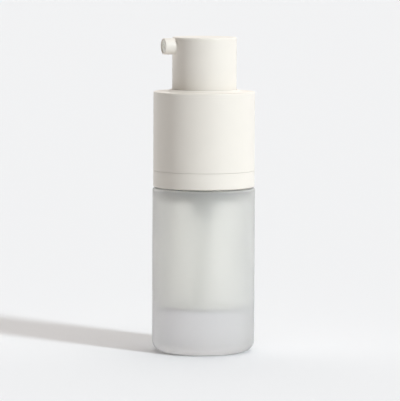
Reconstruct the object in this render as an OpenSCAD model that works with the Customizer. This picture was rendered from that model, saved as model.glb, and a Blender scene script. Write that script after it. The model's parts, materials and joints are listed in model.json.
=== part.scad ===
// Foundation bottle: frosted glass, with a press pump under a twist-lock collar.
// Millimetres. The bottle stands on z = 0 round the Z axis, and the spout points along -X.

/* [Bottle] */
// Outside diameter of the glass
bottle_d = 36; // [32:0.5:44]
// Height of the glass from the table to its shoulder
bottle_h = 57.6; // [50:0.1:75]
// Thickness of the glass wall
glass_wall = 2.4; // [2:0.1:4]
// Thickness of the heavy glass base
base_t = 15.4; // [8:0.2:20]
// Thickness of the glass at the shoulder
shoulder_t = 1.8; // [1.5:0.1:5]
// Radius of the rounded edge at the foot
foot_edge_r = 3.8; // [1:0.1:6]
// Radius of the rounded edge at the shoulder
shoulder_edge_r = 0.8; // [0.3:0.1:2]
// Depth of the hollow under the foot
punt_depth = 0.6; // [0.2:0.1:1.5]

/* [Neck] */
// Outside diameter of the neck under its thread
neck_d = 17.4; // [16.6:0.1:19]
// Inside diameter of the neck
neck_bore_d = 13.4; // [13.2:0.1:14]
// Height of the neck above the shoulder
neck_h = 14; // [12:0.5:18]
// Rise of the thread in one turn
thread_pitch = 3.2; // [2.8:0.1:3.6]
// How far the thread stands out of the neck
thread_depth = 0.95; // [0.7:0.05:1.1]
// Number of turns of thread
thread_turns = 1.5; // [1:0.25:2]

/* [Collar] */
// Outside diameter of the base ring and the sleeve
collar_d = 35.6; // [31.6:0.1:44]
// Height of the fixed base ring
ring_h = 5.7; // [5:0.1:9]
// Height of the turning sleeve
sleeve_h = 27.55; // [26.5:0.05:34]
// Thickness of the sleeve and ring walls
collar_wall = 1.5; // [1.2:0.1:2]
// Height of the raised lip round the head
lip_h = 0.8; // [0.3:0.1:1.5]
// How far the sleeve turns between open and shut, in degrees
twist_range = 90; // [60:5:120]

/* [Head] */
// Outside diameter of the press head
head_d = 22.6; // [21:0.1:25]
// Height of the head above the sleeve
head_rise = 19.1; // [16:0.1:24]
// Thickness of the head's wall
head_wall = 1.3; // [1:0.1:1.8]
// Outside diameter of the spout
spout_d = 5.7; // [5:0.1:6.4]
// Distance from the bottle's axis to the spout's tip
spout_reach = 15.3; // [13.5:0.1:17]
// Diameter of the hole that the product leaves by
outlet_d = 1; // [0.8:0.1:2.2]

/* [Pump] */
// How far the head travels when it is pressed
stroke = 7; // [4:0.25:7.5]
// Inside diameter of the pump chamber
chamber_d = 9; // [8:0.1:9.6]
// Thickness of the chamber's wall
chamber_wall = 1; // [0.8:0.1:1.2]
// Outside diameter of the hollow stem
stem_d = 4.8; // [4.4:0.1:5.2]
// Inside diameter of the hollow stem
stem_bore_d = 2; // [1.6:0.1:2.2]
// Length of the piston seal
piston_h = 4; // [3:0.1:5]
// How far the piston slips on the stem to open its ports
piston_slip = 0.8; // [0.5:0.1:1]
// Length of the return spring at rest
spring_h = 12; // [11:0.25:14]
// Thickness of the spring's wire
spring_wire = 0.5; // [0.4:0.05:0.7]
// Number of turns in the spring
spring_turns = 7; // [5:0.5:8]
// Diameter of the steel ball at the inlet
inlet_ball_d = 3; // [2.6:0.1:3.4]
// Diameter of the steel ball at the outlet
outlet_ball_d = 2.5; // [2.3:0.1:2.8]
// How far each ball lifts off its seat
ball_lift = 0.8; // [0.5:0.1:1.2]
// Outside diameter of the dip tube
tube_d = 3.6; // [3:0.1:4]
// Thickness of the dip tube's wall
tube_wall = 0.5; // [0.3:0.1:0.8]
// How far the dip tube curls away from the axis at its lower end
tube_curl = 3.3; // [1:0.1:8]

/* [Clearances] */
// Gap between pieces that slide or turn on each other
running_gap = 0.15; // [0.1:0.01:0.3]
// Gap between pieces that are pressed together
press_gap = 0.02; // [0.01:0.01:0.05]
// Gap between a ball or piston and what it seals on
seal_gap = 0.03; // [0.01:0.01:0.05]
// Gap between the glass shoulder and the base ring
seat_gap = 0.5; // [0.1:0.05:0.6]
// Gap between the base ring and the sleeve's lower edge
seam_gap = 0.06; // [0.03:0.01:0.3]

/* [Hidden] */
$fn = 96;
skin = 0.01;              // how far a cut runs past a face

glass_colour = [0.83, 0.84, 0.82, 0.6];
white_colour = [0.93, 0.93, 0.91];
natural_colour = [0.88, 0.89, 0.87];
steel_colour = [0.7, 0.7, 0.72];
seal_colour = [0.82, 0.82, 0.84];

// Radii
bottle_r = bottle_d / 2;
cavity_r = bottle_r - glass_wall;
neck_r = neck_d / 2;
neck_bore_r = neck_bore_d / 2;
thread_r = neck_r + thread_depth;
thread_root_w = thread_pitch * 0.53;
thread_crest_w = thread_pitch * 0.28;
collar_r = collar_d / 2;
collar_in_r = collar_r - collar_wall;
head_r = head_d / 2;
head_in_r = head_r - head_wall;
spout_r = spout_d / 2;
chamber_r = chamber_d / 2;
housing_r = chamber_r + chamber_wall;
stem_r = stem_d / 2;
stem_bore_r = stem_bore_d / 2;
tube_r = tube_d / 2;

// Heights, from the table up to the collar
cavity_z0 = base_t;
cavity_z1 = bottle_h - shoulder_t;
neck_z1 = bottle_h + neck_h;
ring_z0 = bottle_h + seat_gap;
ring_z1 = ring_z0 + ring_h;
sleeve_z0 = ring_z1 + seam_gap;
sleeve_z1 = sleeve_z0 + sleeve_h;
sleeve_top_t = 1.6;
seam_edge_r = 0.06;                   // edges on both sides of the seam, nearly sharp
plate_z0 = sleeve_z1 - sleeve_top_t;
head_z1 = sleeve_z1 + head_rise;

// Pump flange, clamped between the neck and the screw cap
gasket_t = 0.8;
flange_t = 1.2;
flange_z0 = neck_z1 + gasket_t;
flange_z1 = flange_z0 + flange_t;
flange_r = neck_r - 0.1;
cap_plate_t = 1.4;
cap_z0 = bottle_h + 1.7;
cap_plate_z0 = flange_z1 + 0.05;
cap_z1 = cap_plate_z0 + cap_plate_t;
cap_in_r = thread_r + 0.25;
cap_r = cap_in_r + 1.6;
neck_thread_z = bottle_h + 4.6;       // where the neck's thread starts
cap_thread_z = neck_thread_z - thread_pitch * 0.42;   // just under it, as in a tight cap
spigot_r = housing_r + 0.9;           // the housing's upper end, which passes through the cap
spigot_z1 = cap_z1 + 2;
plug_h = 3;                           // depth of the plug that centres the pump in the neck
guide_z1 = spigot_z1 + 1.4;           // top of the stem guide
guide_skirt_r = spigot_r + 1;

// Stem and piston, hung below the stem guide
guide_z0 = flange_z1 - 0.5;           // lower end of the stem guide, the stem's upper stop
stop_h = 0.8;
stop_z1 = guide_z0 - seal_gap;
stop_z0 = stop_z1 - stop_h;
piston_z1 = stop_z0 - piston_slip - 0.3;
piston_z0 = piston_z1 - piston_h;
spring_seat_t = 1;
spring_seat_z0 = piston_z0 - seal_gap - spring_seat_t;
spring_seat_r = chamber_r - 0.6;
port_d = 0.7;
port_z = piston_z0 + port_d / 2 + 0.05;

// Spring, cage and inlet ball below the stem
spring_z1 = spring_seat_z0;
spring_z0 = spring_z1 - spring_h;
spring_r = chamber_r - 1.2;           // centre line of the wire
cage_t = 0.8;
cage_z1 = spring_z0;
cage_z0 = cage_z1 - cage_t;
inlet_ball_r = inlet_ball_d / 2;
inlet_seat_r = inlet_ball_r * 0.68;
inlet_ball_z = cage_z0 - seal_gap - ball_lift - inlet_ball_r;
inlet_seat_z = inlet_ball_z - seat_drop(inlet_ball_r + seal_gap, inlet_seat_r);
well_r = inlet_ball_r + 0.35;
socket_r = tube_r + 0.8;
socket_h = 4;
socket_z1 = inlet_seat_z - 0.8;
socket_z0 = socket_z1 - socket_h;
cone_z1 = cage_z0 - 0.4;
cone_z0 = inlet_seat_z - 1.2;

// Head, core and the upper end of the stem
skirt_z0 = cap_z1 + stroke + 0.25;    // the skirt stops just above the cap at full stroke
core_z0 = guide_z1 + stroke + 0.4;
core_r = stem_r + 2;
tip_h = 7.5;
stem_z1 = core_z0 + 3.8;
tip_z1 = stem_z1 + tip_h;
tip_bore_r = 0.7;
tip_groove_r = stem_r - 0.8;
tip_port_z = tip_z1 - 1.8;
seal_w = 1.1;                         // width of the seal's groove
seal_z = stem_z1 + 1.6;
snap_z = stem_z1 + 3.4;               // snap bead that keeps the head on the stem and lets it turn
snap_r = 0.25;
spout_z = head_z1 - spout_r - 0.35;   // the spout's top is nearly level with the head's
head_top_t = 1.5;
core_z1 = head_z1 - head_top_t - 0.1;
insert_r = spout_r - 0.6;
insert_recess = 0.3;                  // how far the insert's face lies inside the spout's tip
insert_x0 = core_r - 1.4;             // the insert's inner end, from the axis
channel_r = 1;                        // half the width of the product's way through the core
outlet_ball_r = outlet_ball_d / 2;
nest_r = outlet_ball_r + 0.3;         // the ball's chamber at the top of the stem
plug_z0 = stem_z1 - 0.8;              // lower end of the stem tip's plug, which stops the ball
outlet_ball_z = plug_z0 - seal_gap - ball_lift - outlet_ball_r;
nest_z0 = outlet_ball_z - seat_drop(outlet_ball_r + seal_gap, stem_bore_r);

// Key that keeps the head turning with the sleeve, hidden inside the sleeve at rest
key_w = 1.8;
key_depth = 0.6;
key_z1 = skirt_z0 + 1.3;
key_z0 = key_z1 - 4;
slot_z1 = key_z1 + stroke + 0.2;
guide_in_r = head_r + running_gap;

// Snap joint and stops between the base ring and the sleeve
hub_r = collar_in_r - running_gap;
hub_z1 = ring_z1 + 4.2;
bead_z = ring_z1 + 2;
bead_out = 0.3;
stop_w = 14;                          // width of a stop lug, in degrees
stop_gap = 1;                         // spare angle at each end of the lug's travel

// Height of a ball's centre above the round edge that it rests on
function seat_drop(ball_r, seat_r) = sqrt(pow(ball_r, 2) - pow(seat_r, 2));

// --- outline helpers ---

// What a round edge takes off an outside corner. dx and dy say which way the corner points.
module edge_cut(x, y, r, dx, dy) {
    translate([x, y]) mirror([dx < 0 ? 1 : 0, 0]) mirror([0, dy < 0 ? 1 : 0])
        difference() {
            translate([-r, -r]) square(r + skin);
            translate([-r, -r]) circle(r = r);
        }
}

// What a hollow fillet adds in an inside corner. dx and dy say which way it opens.
module fillet(x, y, r, dx, dy) {
    translate([x, y]) mirror([dx < 0 ? 1 : 0, 0]) mirror([0, dy < 0 ? 1 : 0])
        difference() {
            translate([-skin, -skin]) square(r + skin);
            translate([r, r]) circle(r = r);
        }
}

module tube(r_out, r_in, z0, z1) {
    translate([0, 0, z0]) difference() {
        cylinder(r = r_out, h = z1 - z0);
        translate([0, 0, -1]) cylinder(r = r_in, h = z1 - z0 + 2);
    }
}

module disc(r, z0, z1) {
    translate([0, 0, z0]) cylinder(r = r, h = z1 - z0);
}

// A slice of a ring between two angles
module ring_sector(r_out, r_in, z0, z1, a0, a1) {
    translate([0, 0, z0]) rotate([0, 0, a0])
        rotate_extrude(angle = a1 - a0)
            translate([r_in, 0]) square([r_out - r_in, z1 - z0]);
}

// A screw thread's rib, swept up a helix, and thinned away at both ends
module thread_rib(r_root, r_crest, z_start, pitch, turns, w_root, w_crest) {
    steps = 30;
    last = round(turns * steps);
    fade = 4;
    function height(i) = min(1, (min(i, last - i) + 0.4) / fade);
    function ring(i) = let(
        a = i * 360 / steps,
        z = z_start + pitch * i / steps,
        r = r_root + (r_crest - r_root) * height(i),
        w = w_root + (w_crest - w_root) * height(i)
    ) [
        [r_root * cos(a), r_root * sin(a), z - w_root / 2],
        [r * cos(a), r * sin(a), z - w / 2],
        [r * cos(a), r * sin(a), z + w / 2],
        [r_root * cos(a), r_root * sin(a), z + w_root / 2]
    ];
    points = [for (i = [0 : last]) each ring(i)];
    inward = r_crest < r_root;
    function turned(f) = inward ? f : [for (k = [len(f) - 1 : -1 : 0]) f[k]];
    sides = [for (i = [0 : last - 1]) for (k = [0 : 3]) let(
        a = 4 * i + k,
        b = 4 * i + (k + 1) % 4
    ) each [turned([a, a + 4, b]), turned([b, a + 4, b + 4])]];
    ends = [turned([0, 1, 2, 3]), turned([4 * last + 3, 4 * last + 2, 4 * last + 1, 4 * last])];
    polyhedron(points = points, faces = concat(sides, ends), convexity = 4);
}

// --- glass and dip tube ---

module glass_outline() {
    foot_r = bottle_r - foot_edge_r;
    difference() {
        union() {
            difference() {
                square([bottle_r, bottle_h]);
                edge_cut(bottle_r, 0, foot_edge_r, 1, -1);
                edge_cut(bottle_r, bottle_h, shoulder_edge_r, 1, 1);
            }
            square([neck_r, neck_z1]);
            fillet(neck_r, bottle_h, 0.8, 1, 1);
        }
        polygon([[-1, -1], [foot_r - 0.8, -1], [foot_r - 0.8, 0], [foot_r - 2.4, punt_depth], [-1, punt_depth]]);
        difference() {
            union() {
                translate([-1, cavity_z0]) square([cavity_r + 1, cavity_z1 - cavity_z0]);
                translate([-1, cavity_z1 - 1]) square([neck_bore_r + 1, neck_z1 - cavity_z1 + 2]);
                fillet(neck_bore_r, cavity_z1, 1.2, 1, 1);
            }
            edge_cut(cavity_r, cavity_z0, 1.6, 1, -1);
            edge_cut(cavity_r, cavity_z1, 3, 1, 1);
        }
        edge_cut(neck_r, neck_z1, 0.5, 1, 1);
    }
}

module glass_bottle() color(glass_colour) {
    rotate_extrude() intersection() {
        glass_outline();
        square([bottle_r + 1, neck_z1 + 1]);
    }
    thread_rib(neck_r - 0.2, thread_r, neck_thread_z, thread_pitch, thread_turns,
               thread_root_w, thread_crest_w);
}

// The tube hangs straight out of its socket and then curls away along an arc
module dip_tube() color(natural_colour) {
    top_z = socket_z1 - 0.1;
    bend_z = socket_z0 - 1;
    end_z = cavity_z0 + 1.4;
    drop = bend_z - end_z;
    bend_r = (pow(drop, 2) + pow(tube_curl, 2)) / (2 * tube_curl);
    bend_a = asin(drop / bend_r);
    tube(tube_r, tube_r - tube_wall, bend_z, top_z);
    translate([-bend_r, 0, bend_z]) rotate([-90, 0, 0]) rotate_extrude(angle = bend_a)
        translate([bend_r, 0]) difference() {
            circle(r = tube_r);
            circle(r = tube_r - tube_wall);
        }
}

// --- pump body: it rises with the cap but doesn't turn ---

module neck_gasket() color(seal_colour)
    tube(flange_r, neck_bore_r - 0.1, neck_z1, flange_z0);

module pump_housing() color(natural_colour) difference() {
    rotate_extrude() {
        // socket, cone and barrel, from the bottom up
        polygon([
            [0, socket_z0], [socket_r, socket_z0], [socket_r, cone_z0], [housing_r, cone_z1],
            [housing_r, spigot_z1], [0, spigot_z1]
        ]);
        translate([0, flange_z0]) square([flange_r, flange_t]);
        translate([0, flange_z0]) square([spigot_r, spigot_z1 - flange_z0]);
        translate([0, flange_z0 - plug_h]) square([neck_bore_r - running_gap, plug_h + skin]);
    }
    disc(chamber_r, cage_z0, spigot_z1 + 1);
    disc(well_r, inlet_seat_z, cage_z0 + 1);
    disc(inlet_seat_r, socket_z0 - 1, inlet_seat_z + 1);
    disc(tube_r + press_gap, socket_z0 - 1, socket_z1);
    // vent that lets air into the bottle as the product leaves
    translate([0, 0, flange_z0 - plug_h / 2]) rotate([0, 90, 0]) cylinder(r = 0.4, h = housing_r * 2);
}

// Ring with a cross bar: it holds the ball down and carries the spring
module ball_cage() color(natural_colour) {
    tube(chamber_r - press_gap, spring_r - 0.8, cage_z0, cage_z1);
    for (a = [0, 90]) rotate([0, 0, a])
        translate([-spring_r, -0.35, cage_z0]) cube([spring_r * 2, 0.7, cage_t]);
}

module inlet_ball() color(steel_colour)
    translate([0, 0, inlet_ball_z]) sphere(r = inlet_ball_r);

// Closed coil ends carry the open coils, so the wire is a helix with a flat turn at each end
module return_spring() {
    sides = 8;
    per_turn = 16;
    last = round(spring_turns * per_turn);
    wire_r = spring_wire / 2;
    rise = spring_h - spring_wire;
    flat_rise = spring_wire * 1.05;       // height of one closed turn
    function climb(i) = flat_rise + (rise - 2 * flat_rise) * (i - per_turn) / (last - 2 * per_turn);
    function lift(i) = i < per_turn ? flat_rise * i / per_turn :
        i > last - per_turn ? rise - flat_rise * (last - i) / per_turn : climb(i);
    points = [for (i = [0 : last]) for (k = [0 : sides - 1]) let(
        a = i * 360 / per_turn,
        b = k * 360 / sides,
        r = spring_r + wire_r * cos(b)
    ) [r * cos(a), r * sin(a), spring_z0 + wire_r + lift(i) + wire_r * sin(b)]];
    walls = [for (i = [0 : last - 1]) for (k = [0 : sides - 1]) let(
        a = sides * i + k,
        b = sides * i + (k + 1) % sides
    ) each [[a, b, a + sides], [b, b + sides, a + sides]]];
    ends = [[for (k = [sides - 1 : -1 : 0]) k], [for (k = [0 : sides - 1]) last * sides + k]];
    color(steel_colour) polyhedron(points = points, faces = concat(walls, ends), convexity = 10);
}

// Cap of the housing: it keeps the screw cap captive, guides the stem and stops it turning
module stem_guide() color(natural_colour) difference() {
    union() {
        disc(guide_skirt_r, cap_z1 + running_gap, guide_z1);
        disc(chamber_r - press_gap, guide_z0, guide_z1);
    }
    tube(spigot_r + press_gap, chamber_r - press_gap, cap_z1 - 1, spigot_z1 + press_gap);
    disc(stem_r + running_gap, guide_z0 - 1, guide_z1 + 1);
    translate([0, -0.4 - running_gap, guide_z0 - 1])
        cube([stem_r + 0.4 + running_gap, 0.8 + 2 * running_gap, guide_z1 - guide_z0 + 2]);
}

// --- stem: it travels with the head but doesn't turn ---

module stem() color(white_colour) difference() {
    union() {
        disc(stem_r, spring_seat_z0, stem_z1);
        disc(spring_seat_r, spring_seat_z0, spring_seat_z0 + spring_seat_t);
        disc(stem_r + 0.7, stop_z0, stop_z1);
        // key that runs in the guide's slot
        translate([0, -0.4, stop_z1 - skin]) cube([stem_r + 0.4, 0.8, core_z0 - 0.3 - stop_z1]);
    }
    disc(stem_bore_r, spring_seat_z0 + spring_seat_t, stem_z1 + 1);
    disc(nest_r, nest_z0, stem_z1 + 1);
    translate([-stem_d, 0, port_z]) rotate([0, 90, 0]) cylinder(d = port_d, h = stem_d * 2, $fn = 24);
}

// Two lips seal the chamber's wall, and the middle is waisted
module piston_seal() color(seal_colour) difference() {
    disc(chamber_r - seal_gap, piston_z0, piston_z1);
    tube(chamber_r + 1, chamber_r - 0.9, piston_z0 + 1.1, piston_z1 - 1.1);
    disc(stem_r + seal_gap, piston_z0 - 1, piston_z1 + 1);
}

module outlet_ball() color(steel_colour)
    translate([0, 0, outlet_ball_z]) sphere(r = outlet_ball_r);

// Closed end of the stem, with one side port that the core uncovers when it faces the spout
module stem_tip() color(white_colour) difference() {
    union() {
        disc(stem_r, stem_z1, tip_z1);
        disc(nest_r - press_gap, plug_z0, stem_z1 + skin);
        snap_ring(stem_r, snap_z, snap_r);
    }
    disc(tip_bore_r, plug_z0 - 1, tip_z1 - 1);
    // a notch lets the product past the raised ball
    translate([-nest_r * 2, -0.3, plug_z0 - 1]) cube([nest_r * 4, 0.6, 1.4]);
    translate([-stem_d, 0, tip_port_z]) rotate([0, 90, 0]) cylinder(r = 0.5, h = stem_d);
    tube(stem_r + 1, tip_groove_r, seal_z - seal_w / 2, seal_z + seal_w / 2);
}

// Ring of round section round a shaft, for a snap bead or the groove that it clicks in
module snap_ring(shaft_r, z, r)
    rotate_extrude() translate([shaft_r, z]) circle(r = r);

// Rubber ring in the tip's groove, against the core's bore
module tip_seal() color(seal_colour) {
    section_r = (stem_r + seal_gap - tip_groove_r) / 2 - press_gap / 2;
    rotate_extrude() translate([tip_groove_r + press_gap / 2 + section_r, seal_z]) circle(r = section_r);
}

// --- cap and base ring: they turn together on the neck's thread ---

module screw_cap() color(white_colour) {
    difference() {
        union() {
            disc(cap_r, cap_z0, cap_z1);
            // splines that bite in the base ring
            for (a = [0 : 30 : 330]) rotate([0, 0, a])
                translate([cap_r - 0.3, -0.6, cap_z0 + 1]) cube([0.7, 1.2, ring_h + 2]);
        }
        disc(cap_in_r, cap_z0 - 1, cap_plate_z0);
        disc(spigot_r + running_gap, cap_z0, cap_z1 + 1);
    }
    thread_rib(cap_in_r + 0.2, neck_r + 0.25, cap_thread_z, thread_pitch, thread_turns,
               thread_root_w, thread_crest_w);
}

module ring_outline() {
    web_t = 1.6;
    grip_r = cap_r + press_gap;
    difference() {
        union() {
            translate([collar_in_r, ring_z0]) square([collar_wall, ring_h]);
            translate([grip_r, ring_z1 - web_t]) square([collar_in_r - grip_r + 0.5, web_t]);
            translate([grip_r, cap_z0 + 0.6]) square([1.5, hub_z1 - cap_z0 - 0.6]);
            translate([hub_r - 1.4, ring_z1 - 1]) square([1.4, hub_z1 - ring_z1 + 1]);
            translate([hub_r, bead_z]) circle(r = bead_out);
        }
        edge_cut(collar_r, ring_z0, 0.35, 1, -1);
        edge_cut(collar_r, ring_z1, seam_edge_r, 1, 1);
        edge_cut(hub_r, hub_z1, 0.4, 1, 1);
    }
}

module base_ring() color(white_colour) difference() {
    rotate_extrude() ring_outline();
    for (a = [0 : 30 : 330]) rotate([0, 0, a])
        translate([cap_r - 1, -0.6 - press_gap, cap_z0])
            cube([1.4 + press_gap, 1.2 + 2 * press_gap, ring_h + 3 + press_gap]);
    // tracks for the sleeve's stop lugs
    for (a = [90, 270])
        ring_sector(hub_r + 1, hub_r - 2, hub_z1 - 1.6, hub_z1 + 1,
                    a - stop_w / 2 - stop_gap, a + twist_range + stop_w / 2 + stop_gap);
}

// --- sleeve: it turns on the base ring ---

module sleeve_outline() {
    lip_r = head_r + running_gap;
    lip_w = 0.5;
    flare_r = lip_h * 1.6;
    groove_r = hub_r + bead_out + running_gap;
    difference() {
        union() {
            difference() {
                translate([lip_r, sleeve_z0]) square([collar_r - lip_r, sleeve_h]);
                translate([lip_r - 1, sleeve_z0 - 1]) square([collar_in_r - lip_r + 1, plate_z0 - sleeve_z0 + 1]);
            }
            translate([lip_r, sleeve_z1 - 0.5]) square([lip_w, lip_h + 0.5]);
            translate([lip_r + lip_w, sleeve_z1]) difference() {
                translate([-skin, -skin]) square([flare_r + skin, lip_h + skin]);
                translate([flare_r, flare_r]) circle(r = flare_r);
            }
            fillet(collar_in_r, plate_z0, 0.8, -1, -1);
        }
        edge_cut(collar_r, sleeve_z1, 0.35, 1, 1);
        edge_cut(collar_r, sleeve_z0, seam_edge_r, 1, -1);
        edge_cut(lip_r, sleeve_z1 + lip_h, 0.2, -1, 1);
        translate([collar_in_r, bead_z]) circle(r = groove_r - collar_in_r + 0.05);
    }
}

module outer_sleeve() color(white_colour)
    rotate_extrude() sleeve_outline();

// Tube inside the sleeve that guides the head, with two keys that turn it
module guide_ring() color(white_colour) {
    flange_top = plate_z0 - press_gap;
    flange_r_out = collar_in_r - 0.9;
    tube(guide_in_r + 1.2, guide_in_r, key_z0, flange_top);
    tube(flange_r_out, guide_in_r + 0.6, flange_top - 1.2, flange_top);
    for (a = [90, 270]) rotate([0, 0, a])
        translate([head_r - key_depth, -key_w / 2, key_z0]) cube([key_depth + 0.6, key_w, key_z1 - key_z0]);
    // gussets under the flange
    for (a = [15 : 30 : 345]) rotate([0, 0, a])
        translate([guide_in_r + 0.6, -0.4, flange_top - 4]) cube([flange_r_out - guide_in_r - 1.4, 0.8, 3]);
}

// Ring pressed in the sleeve, with two lugs that run in the base ring's tracks
module stop_ring() color(natural_colour) {
    tube(collar_in_r - press_gap, hub_r - 1.4, hub_z1 + 0.2, hub_z1 + 1.6);
    for (a = [90, 270])
        ring_sector(hub_r - 0.2, hub_r - 1.2, hub_z1 - 1.4, hub_z1 + 0.4, a - stop_w / 2, a + stop_w / 2);
}

// --- head: it turns with the sleeve and is pressed down ---

module head_shell() color(white_colour) difference() {
    union() {
        rotate_extrude() difference() {
            translate([0, skirt_z0]) square([head_r, head_z1 - skirt_z0]);
            edge_cut(head_r, head_z1, 0.7, 1, 1);
            edge_cut(head_r, skirt_z0, 0.3, 1, -1);
        }
        translate([0, 0, spout_z]) rotate([0, -90, 0]) rotate_extrude() difference() {
            square([spout_r, spout_reach]);
            edge_cut(spout_r, spout_reach, 0.3, 1, 1);
        }
    }
    disc(head_in_r, skirt_z0 - 1, head_z1 - head_top_t);
    translate([0, 0, spout_z]) rotate([0, -90, 0]) cylinder(r = insert_r + press_gap, h = spout_reach + 1);
    for (a = [90, 270]) rotate([0, 0, a])
        translate([head_r - key_depth - running_gap, -key_w / 2 - running_gap, skirt_z0 - 1])
            cube([key_depth + 1, key_w + 2 * running_gap, slot_z1 - skirt_z0 + 1]);
}

// Manifold on the stem's end: the groove inside faces the stem's port only when the sleeve is open
module head_core() color(white_colour) difference() {
    union() {
        disc(core_r, core_z0, core_z1);
        disc(head_in_r - press_gap, core_z1 - 6.6, core_z1 - 5.2);
        for (a = [45 : 90 : 315]) rotate([0, 0, a])
            translate([core_r - 0.5, -0.5, core_z1 - 6.6]) cube([head_in_r - core_r, 1, 6.6]);
    }
    disc(stem_r + seal_gap, core_z0 - 1, tip_z1 + seal_gap);
    snap_ring(stem_r, snap_z, snap_r + 2 * seal_gap);
    // way up from the stem's port, round the closed tip, to the spout
    translate([-stem_r - 0.9, -channel_r, tip_port_z - 0.7]) cube([stem_r + 0.9, 2 * channel_r, 3.2]);
    disc(channel_r, tip_z1 - 1, spout_z);
    translate([0, 0, spout_z]) rotate([0, -90, 0]) cylinder(r = channel_r, h = core_r + 1);
    translate([0, 0, spout_z]) rotate([0, -90, 0]) translate([0, 0, insert_x0 - press_gap])
        cylinder(r = insert_r + press_gap, h = 3);
}

module spout_insert() color(natural_colour)
    translate([0, 0, spout_z]) rotate([0, -90, 0]) {
        insert_l = spout_reach - insert_recess - insert_x0;
        flare = 0.2;
        translate([0, 0, insert_x0]) difference() {
            cylinder(r = insert_r, h = insert_l);
            translate([0, 0, -1]) cylinder(d = outlet_d, h = insert_l + 2);
            translate([0, 0, insert_l - flare])
                cylinder(r1 = outlet_d / 2, r2 = outlet_d / 2 + flare + skin, h = flare + skin);
        }
    }

glass_bottle();
neck_gasket();
pump_housing();
dip_tube();
inlet_ball();
ball_cage();
return_spring();
stem();
piston_seal();
outlet_ball();
stem_tip();
tip_seal();
stem_guide();
screw_cap();
base_ring();
stop_ring();
outer_sleeve();
guide_ring();
head_shell();
head_core();
spout_insert();
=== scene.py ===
"""Looks of a foundation bottle: frosted glass, a white twist-lock collar and a press pump.

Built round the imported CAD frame, in metres. The bottle stands on z = 0, and its spout points along -X.
"""

import json
import math

import bmesh
import bpy
from bpy.props import FloatProperty, FloatVectorProperty, IntProperty, PointerProperty
from bpy.types import Operator, Panel, PropertyGroup
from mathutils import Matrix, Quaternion, Vector


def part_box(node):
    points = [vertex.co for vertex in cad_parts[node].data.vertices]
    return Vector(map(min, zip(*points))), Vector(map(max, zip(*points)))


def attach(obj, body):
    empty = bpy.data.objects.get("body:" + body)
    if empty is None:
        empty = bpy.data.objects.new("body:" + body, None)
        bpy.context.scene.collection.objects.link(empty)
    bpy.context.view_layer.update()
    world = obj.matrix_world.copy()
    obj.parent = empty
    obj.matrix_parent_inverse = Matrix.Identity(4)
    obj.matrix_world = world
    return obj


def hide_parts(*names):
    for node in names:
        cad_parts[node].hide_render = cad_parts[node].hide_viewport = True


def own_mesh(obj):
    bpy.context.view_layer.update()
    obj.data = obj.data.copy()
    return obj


bl_info = {
    "name": "Foundation Bottle",
    "version": (1, 0, 0),
    "blender": (4, 5, 0),
    "location": "View3D > Sidebar > Bottle",
    "description": "Builds a frosted glass foundation bottle with a press pump",
    "category": "Add Mesh",
}

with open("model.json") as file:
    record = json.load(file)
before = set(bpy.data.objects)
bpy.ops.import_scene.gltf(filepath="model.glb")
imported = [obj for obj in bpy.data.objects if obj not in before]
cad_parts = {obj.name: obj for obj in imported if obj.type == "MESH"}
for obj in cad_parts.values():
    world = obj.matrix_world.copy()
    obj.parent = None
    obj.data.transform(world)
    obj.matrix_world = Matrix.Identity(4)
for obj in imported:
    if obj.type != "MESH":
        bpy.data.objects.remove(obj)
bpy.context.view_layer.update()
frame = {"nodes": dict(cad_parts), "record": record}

MM = 0.001
SUPPORT = 0.06 * MM           # how far a support loop stands from a rounded edge
ARC_STEP = math.radians(11)   # the most that an arc turns in one step
WELD = 0.001 * MM             # points nearer than this are one
SHARP = math.radians(32)      # a crease sharper than this stays an edge
LATHE_RADIUS = 20 * MM        # a circle wider than any piece, which outlines are swept round

GLASS_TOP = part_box("glass_bottle")[1]
RING_LOW, RING_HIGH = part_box("base_ring")
SLEEVE_LOW, SLEEVE_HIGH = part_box("outer_sleeve")
HEAD_LOW, HEAD_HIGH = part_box("head_shell")
GUIDE_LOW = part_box("guide_ring")[0]
CAP_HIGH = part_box("screw_cap")[1]
INSERT_LOW, INSERT_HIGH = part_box("spout_insert")
SPRING_LOW, SPRING_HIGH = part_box("return_spring")


def linear(code):
    """Linear colour from an sRGB hex code."""
    parts = [int(code[i : i + 2], 16) / 255 for i in (0, 2, 4)]
    return [c / 12.92 if c <= 0.04045 else ((c + 0.055) / 1.055) ** 2.4 for c in parts]


def length(name, text, default):
    """A length property, in metres."""
    return FloatProperty(name=name, description=text, default=default, unit="LENGTH", precision=5)


def angle(name, text, degrees):
    """An angle property, from degrees."""
    return FloatProperty(name=name, description=text, default=math.radians(degrees), subtype="ANGLE")


def strength(name, text, default):
    """A plain number: how strong a light is, or how far a finish goes."""
    return FloatProperty(name=name, description=text, default=default)


def colour(name, text, code):
    """A colour property, from its sRGB hex code."""
    return FloatVectorProperty(name=name, description=text, default=linear(code), subtype="COLOR", size=3)


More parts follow.
